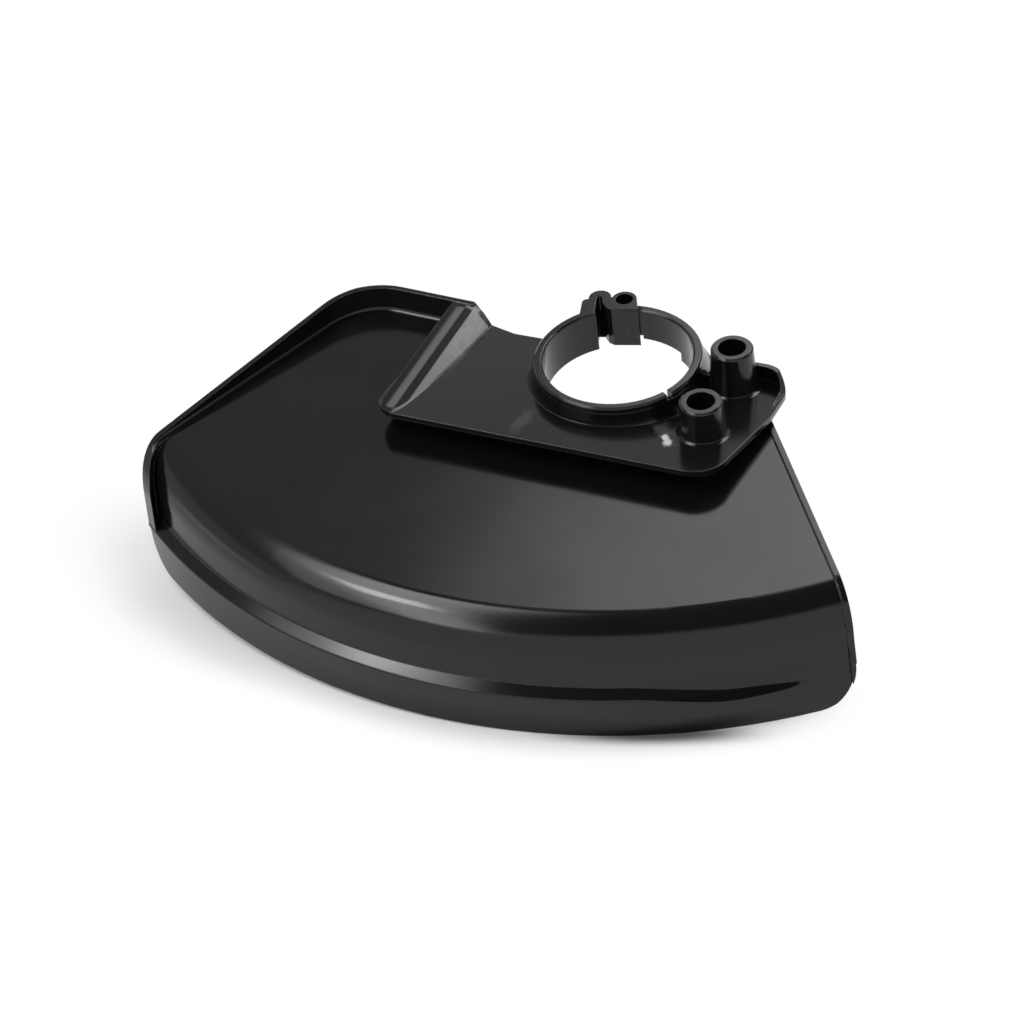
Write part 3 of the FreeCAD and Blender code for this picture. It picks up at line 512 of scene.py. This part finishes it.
def foot_flare(tree, place, normal):
    """Share of the place on the collar's foot, and the normal of its hollow flare."""
    level = vector(tree, "MULTIPLY", place, LEVEL)
    outward = vector(tree, "NORMALIZE", level)
    radius = vector(tree, "LENGTH", level)
    spread = ramp(tree, radius, COLLAR_RADIUS, FOOT_RADIUS)
    facing = ramp(tree, vector(tree, "DOT_PRODUCT", normal, outward), *FOOT_FACING)
    height = ramp(tree, separate(tree, place)["Z"], *FOOT_HEIGHT)
    share = product(tree, ramp(tree, radius, COLLAR_RADIUS, COLLAR_RADIUS + FOOT_START),
                    ramp(tree, radius, FOOT_RADIUS + FOOT_MARGIN, FOOT_RADIUS), facing, height)
    return share, raised(tree, outward, product(tree, spread, spread, FOOT_LIFT))


def wedge_zone(tree, place, normal):
    """Share of the place on the wedge, above the plate that falls to the back."""
    x, y, z = separate(tree, place)
    above_plate = calc(tree, "SUBTRACT", calc(tree, "MULTIPLY_ADD", y, PLATE_SLOPE, z), PLATE_LEVEL)
    sides = product(tree, ramp(tree, x, *WEDGE_LEFT), ramp(tree, x, *WEDGE_RIGHT))
    height = product(tree, ramp(tree, above_plate, *WEDGE_BASE), ramp(tree, z, *WEDGE_HEIGHT))
    upward = ramp(tree, vector(tree, "DOT_PRODUCT", normal, UP), *WEDGE_FACING)
    return product(tree, sides, height, ramp(tree, y, *WEDGE_BACK), upward)


def wedge_normal(tree, place):
    """Across the wedge: a rounded crest, a dark valley and a gentle bright flank."""
    x = separate(tree, place)["X"]
    crest = ramp(tree, x, *WEDGE_CREST, *CREST_LEANS)
    valley = ramp(tree, x, *WEDGE_VALLEY, 0.0, VALLEY_LEAN)
    flank = ramp(tree, x, *WEDGE_FLANK, 0.0, FLANK_LEAN)
    lean = calc(tree, "ADD", crest, calc(tree, "ADD", valley, flank))
    return vector(tree, "NORMALIZE", combine(tree, lean, 0.0, 1.0))


def shaped_normal(tree, place, normal):
    """Shading normal with the ledge's end, the collar's flared foot and the wedge's soft forms."""
    normal = blend(tree, normal, ledge_normal(tree, place), ledge_zone(tree, place))
    share, flare = foot_flare(tree, place, normal)
    normal = blend(tree, normal, flare, share)
    return blend(tree, normal, wedge_normal(tree, place), wedge_zone(tree, place, normal))


def guard_material():
    """Black moulded plastic: uneven gloss, fine grain, pale streak and patch, flow mark, edges and wedge
    flank paler as wear and painted highlight.
    """
    material = bpy.data.materials.new("guard_plastic")
    material.use_nodes = True
    tree = material.node_tree
    shader = tree.nodes["Principled BSDF"]
    geometry = tree.nodes.new("ShaderNodeNewGeometry")
    place = geometry.outputs["Position"]

    # Forms, then a fine moulded grain
    soft_edges = node(tree, "ShaderNodeBevel", Radius=EDGE_RADIUS)
    soft_edges.samples = EDGE_SAMPLES
    soft_normal = soft_edges.outputs["Normal"]
    grain = node(tree, "ShaderNodeTexNoise", Vector=place, Scale=GRAIN_SCALE, Detail=GRAIN_DETAIL)
    bump = node(tree, "ShaderNodeBump", Strength=GRAIN_STRENGTH, Distance=GRAIN_DEPTH,
                Height=grain.outputs["Fac"], Normal=shaped_normal(tree, place, soft_normal))
    tree.links.new(bump.outputs["Normal"], shader.inputs["Normal"])

    # Patches break up the wear and the painted highlights, and make the marks ragged
    patches = node(tree, "ShaderNodeTexNoise", Vector=place, Scale=PATCH_SCALE, Detail=PATCH_DETAIL)
    patchy = patches.outputs["Fac"]
    stray = vector(tree, "SUBTRACT", patches.outputs["Color"], PATCH_MIDDLE)
    ragged = vector(tree, "ADD", place, vector(tree, "SCALE", stray, scale=RAGGED_SHIFT))

    # Edges paler, as wear and as a painted edge highlight, but not at the ledge's right end
    edge = vector(tree, "DOT_PRODUCT", soft_normal, geometry.outputs["Normal"])
    off_ledge_end = calc(tree, "SUBTRACT", 1.0, ledge_zone(tree, place))
    worn_and_highlit_edges = product(tree, ramp(tree, edge, *EDGE_WEAR_AND_HIGHLIGHT), ramp(tree, patchy, *EDGE_WEAR_AND_HIGHLIGHT_PATCHES), off_ledge_end)

    # A pale streak and a fainter patch beside the front boss, a flow mark on the plate and a paler wedge
    # flank
    x, y, z = separate(tree, place)
    on_top = ramp(tree, z, *PLATE_TOP)
    pale_streak = product(tree, streak(tree, ragged, PALE_STREAK_PLACE, PALE_STREAK_WAY, *PALE_STREAK_SIZE), on_top)
    pale_patch = product(tree, streak(tree, ragged, PALE_PATCH_PLACE, PALE_STREAK_WAY, *PALE_PATCH_SIZE), on_top)
    flow_streak = streak(tree, ragged, FLOW_MARK_PLACE, FLOW_MARK_WAY, *FLOW_MARK_SIZE)
    flow_mark = product(tree, flow_streak, on_top)
    # The wedge's flank is paler towards the back, partly rubbed and partly a painted highlight
    flank_rub_and_highlight = product(tree, ramp(tree, x, *WEDGE_FLANK), ramp(tree, x, *FLANK_RUB_AND_HIGHLIGHT_RIGHT),
                     ramp(tree, y, *FLANK_RUB_AND_HIGHLIGHT_LENGTH), on_top, ramp(tree, patchy, *FLANK_RUB_AND_HIGHLIGHT_PATCHES))

    pale_streak_and_patch = calc(tree, "MULTIPLY_ADD", pale_streak, PALE_STREAK_TONE, product(tree, pale_patch, PALE_PATCH_TONE))
    flow_mark_and_pale_flank = calc(tree, "MULTIPLY_ADD", flow_mark, FLOW_MARK_TONE, product(tree, flank_rub_and_highlight, FLANK_RUB_AND_HIGHLIGHT_TONE))
    wear_and_edge_highlights = calc(tree, "MULTIPLY_ADD", worn_and_highlit_edges, EDGE_WEAR_AND_HIGHLIGHT_TONE, PLASTIC_TONE)
    tone = calc(tree, "ADD", wear_and_edge_highlights, calc(tree, "ADD", pale_streak_and_patch, flow_mark_and_pale_flank))
    tree.links.new(combine(tree, tone, tone, tone), shader.inputs["Base Color"])

    # Gloss that follows the flow of the plastic, matt where it is worn
    flow = node(tree, "ShaderNodeTexNoise", Vector=place, Scale=FLOW_SCALE, Detail=FLOW_DETAIL,
                Roughness=FLOW_ROUGHNESS)
    gloss = ramp(tree, flow.outputs["Fac"], *FLOW_RANGE, *GLOSS_ROUGHNESSES)
    matt = largest(tree, product(tree, worn_and_highlit_edges, WORN_ROUGHNESS), product(tree, pale_streak, PALE_STREAK_ROUGHNESS))
    tree.links.new(largest(tree, gloss, matt), shader.inputs["Roughness"])
    shader.inputs["IOR"].default_value = PLASTIC_IOR
    return material


def make_ledge_fill():
    """Thin web in the hollow at the right end of the skirt, flush with the wall."""
    outer = []
    inner = []
    for row in range(FILL_ROWS + 1):
        z = FILL_TOP + (FILL_BOTTOM - FILL_TOP) * row / FILL_ROWS
        for column in range(FILL_COLUMNS + 1):
            azimuth = FILL_LEFT + (FILL_RIGHT - FILL_LEFT) * column / FILL_COLUMNS
            radius = FILL_RADIUS - FILL_SLOPE * (z - FILL_TOP) - FILL_TAPER * (azimuth - FILL_LEFT)
            level = SKIRT_CENTRE + Vector((0, 0, z))
            outer.append(level + radius * outward_way(azimuth))
            inner.append(level + (radius - FILL_DEPTH) * outward_way(azimuth))
    width = FILL_COLUMNS + 1
    back = len(outer)
    faces = []
    for row in range(FILL_ROWS):
        for column in range(FILL_COLUMNS):
            first = row * width + column
            face = (first, first + width, first + width + 1, first + 1)
            faces.append(face)
            faces.append(tuple(back + corner for corner in reversed(face)))
    top = list(range(width))
    right = [row * width + FILL_COLUMNS for row in range(FILL_ROWS + 1)]
    bottom = [FILL_ROWS * width + column for column in reversed(range(width))]
    left = [row * width for row in reversed(range(FILL_ROWS + 1))]
    for edge in (top, right, bottom, left):
        for first, second in zip(edge, edge[1:]):
            faces.append((first, second, back + second, back + first))
    mesh = bpy.data.meshes.new("ledge_fill")
    mesh.from_pydata(outer + inner, [], faces)
    mesh.validate()
    fill = bpy.data.objects.new("ledge_fill", mesh)
    bpy.context.scene.collection.objects.link(fill)
    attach(fill, "root")
    return fill


make_camera()
make_world()
make_key_lamp()
make_floor()

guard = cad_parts["guard"]
plastic = guard_material()
for slot in guard.material_slots:
    slot.material = plastic
make_ledge_fill().data.materials.append(plastic)

bpy.context.scene.view_settings.view_transform = "Standard"
